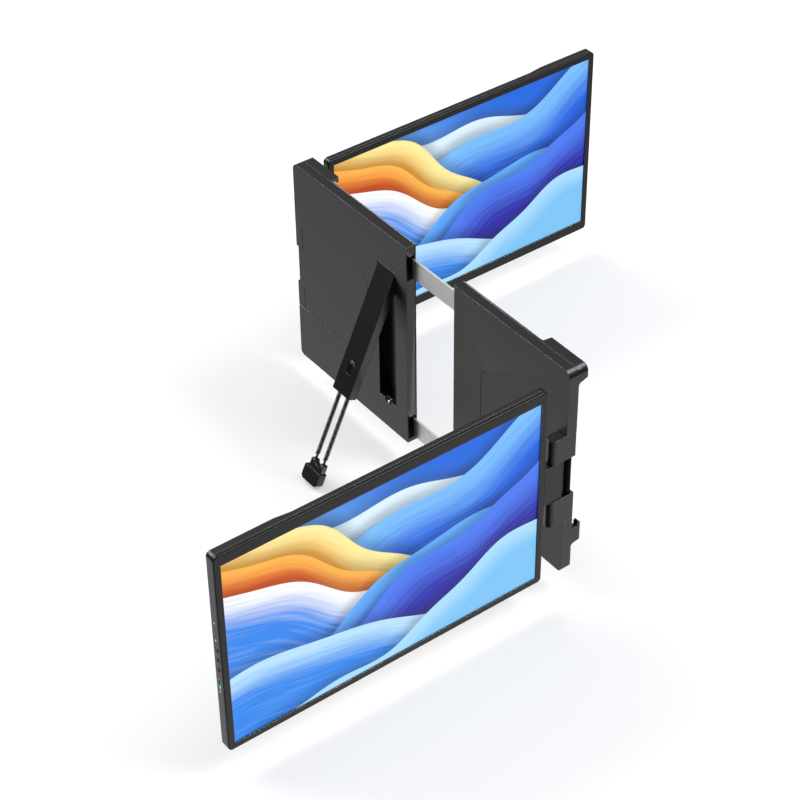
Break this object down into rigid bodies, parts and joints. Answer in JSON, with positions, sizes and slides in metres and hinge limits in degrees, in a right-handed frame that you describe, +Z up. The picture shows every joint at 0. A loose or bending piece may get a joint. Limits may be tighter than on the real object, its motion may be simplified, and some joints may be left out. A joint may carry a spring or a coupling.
{
  "type": "laptop screen extender",
  "caption": "Sliding lid bracket with a folding monitor on a double hinge at each end, sprung menu buttons and a telescopic rear stand.",
  "frame": {"origin": "midway between the bracket's ends, in the plane of the hinge axes, at the height of the stand's lowest corner", "axes": "+Z up, +X along the bracket towards the housing that slides out on the rails, +Y towards the user"},
  "size_m": [0.381, 0.6812, 0.238],
  "materials": {
    "shell": "satin",
    "dark_cover": "satin",
    "arm": "satin",
    "black_plastic": "matte",
    "steel": "satin",
    "dark_steel": "satin",
    "rail_metal": "brushed",
    "rubber": "matte",
    "display_glass": "gloss",
    "light_guide": "satin",
    "board": "satin"
  },
  "bodies": {
    "left_housing": {"left_back_shell": "shell", "left_front_shell": "shell", "left_cover_plate": "dark_cover", "left_top_hook": "dark_cover", "left_bottom_hook": "dark_cover", "left_lid_pads": "rubber", "left_shell_screws": "steel", "left_axle_pin": "steel", "upper_rail_guides": "black_plastic", "lower_rail_guides": "black_plastic", "stand_pivot_pin": "steel"},
    "right_housing": {"right_back_shell": "shell", "right_front_shell": "shell", "right_cover_plate": "dark_cover", "right_top_hook": "dark_cover", "right_bottom_hook": "dark_cover", "right_lid_pads": "rubber", "right_shell_screws": "steel", "right_axle_pin": "steel", "upper_rail": "rail_metal", "lower_rail": "rail_metal", "rail_screws": "steel"},
    "detent": {"detent_dome": "steel"},
    "left_link": {"left_upper_arm": "arm", "left_lower_arm": "arm", "left_link_barrel": "black_plastic"},
    "right_link": {"right_upper_arm": "arm", "right_lower_arm": "arm", "right_link_barrel": "black_plastic"},
    "stand_arm": {"stand_leg": "dark_cover"},
    "stand_extension": {"stand_rods": "dark_steel", "stand_foot": "rubber"},
    "release_button": {"stand_button": "black_plastic", "stand_lock_pawl": "steel"},
    "left_monitor": {"left_knuckle": "arm", "left_knuckle_pin": "steel", "left_bezel": "black_plastic", "left_display": "display_glass", "left_light_guide": "light_guide", "left_back_cover": "shell", "left_control_board": "board", "left_usb_port": "steel", "left_edge_screws": "steel"},
    "left_button_1": {"left_button_1": "black_plastic"},
    "left_button_2": {"left_button_2": "black_plastic"},
    "left_button_3": {"left_button_3": "black_plastic"},
    "right_monitor": {"right_knuckle": "arm", "right_knuckle_pin": "steel", "right_bezel": "black_plastic", "right_display": "display_glass", "right_light_guide": "light_guide", "right_back_cover": "shell", "right_control_board": "board", "right_usb_port": "steel", "right_edge_screws": "steel"},
    "right_button_1": {"right_button_1": "black_plastic"},
    "right_button_2": {"right_button_2": "black_plastic"},
    "right_button_3": {"right_button_3": "black_plastic"}
  },
  "joints": [
    {"name": "bracket_slide", "type": "slide", "parent": "left_housing", "child": "right_housing", "axis": [1, 0, 0], "range_m": [-0.064, 0.03]},
    {"name": "right_link_hinge", "type": "hinge", "parent": "right_housing", "child": "right_link", "pos_m": [0.1853, 0, 0.12803], "axis": [0, 0, 1], "range_deg": [0, 180]},
    {"name": "right_screen_hinge", "type": "hinge", "parent": "right_link", "child": "right_monitor", "pos_m": [0.1853, -0.015, 0.12803], "axis": [0, 0, -1], "range_deg": [-90, 70]},
    {"name": "left_link_hinge", "type": "hinge", "parent": "left_housing", "child": "left_link", "pos_m": [-0.1853, 0, 0.12803], "axis": [0, 0, -1], "range_deg": [-180, 0]},
    {"name": "left_screen_hinge", "type": "hinge", "parent": "left_link", "child": "left_monitor", "pos_m": [-0.1853, 0.015, 0.12803], "axis": [0, 0, 1], "range_deg": [-60, 90]},
    {"name": "stand_pivot", "type": "hinge", "parent": "left_housing", "child": "stand_arm", "pos_m": [-0.052, -0.0024, 0.19951], "axis": [1, 0, 0], "range_deg": [-5, 21.5]},
    {"name": "stand_extend", "type": "slide", "parent": "stand_arm", "child": "stand_extension", "axis": [0, 0.4195, 0.9078], "range_m": [-0.01, 0.073]},
    {"name": "stand_release", "type": "slide", "parent": "stand_arm", "child": "release_button", "axis": [0, 0.9078, -0.4195], "range_m": [0, 0.0008], "stiffness_N_per_m": 900, "springref_m": -0.0008},
    {"name": "detent_press", "type": "slide", "parent": "left_housing", "child": "detent", "axis": [0, 1, 0], "range_m": [0, 0.0004], "stiffness_N_per_m": 1500, "springref_m": -0.0004},
    {"name": "left_button_1_press", "type": "slide", "parent": "left_monitor", "child": "left_button_1", "axis": [0, -1, 0], "range_m": [0, 0.0003], "stiffness_N_per_m": 1500, "springref_m": -0.0004},
    {"name": "left_button_2_press", "type": "slide", "parent": "left_monitor", "child": "left_button_2", "axis": [0, -1, 0], "range_m": [0, 0.0003], "stiffness_N_per_m": 1500, "springref_m": -0.0004},
    {"name": "left_button_3_press", "type": "slide", "parent": "left_monitor", "child": "left_button_3", "axis": [0, -1, 0], "range_m": [0, 0.0003], "stiffness_N_per_m": 1500, "springref_m": -0.0004},
    {"name": "right_button_1_press", "type": "slide", "parent": "right_monitor", "child": "right_button_1", "axis": [0, 1, 0], "range_m": [0, 0.0003], "stiffness_N_per_m": 1500, "springref_m": -0.0004},
    {"name": "right_button_2_press", "type": "slide", "parent": "right_monitor", "child": "right_button_2", "axis": [0, 1, 0], "range_m": [0, 0.0003], "stiffness_N_per_m": 1500, "springref_m": -0.0004},
    {"name": "right_button_3_press", "type": "slide", "parent": "right_monitor", "child": "right_button_3", "axis": [0, 1, 0], "range_m": [0, 0.0003], "stiffness_N_per_m": 1500, "springref_m": -0.0004}
  ]
}
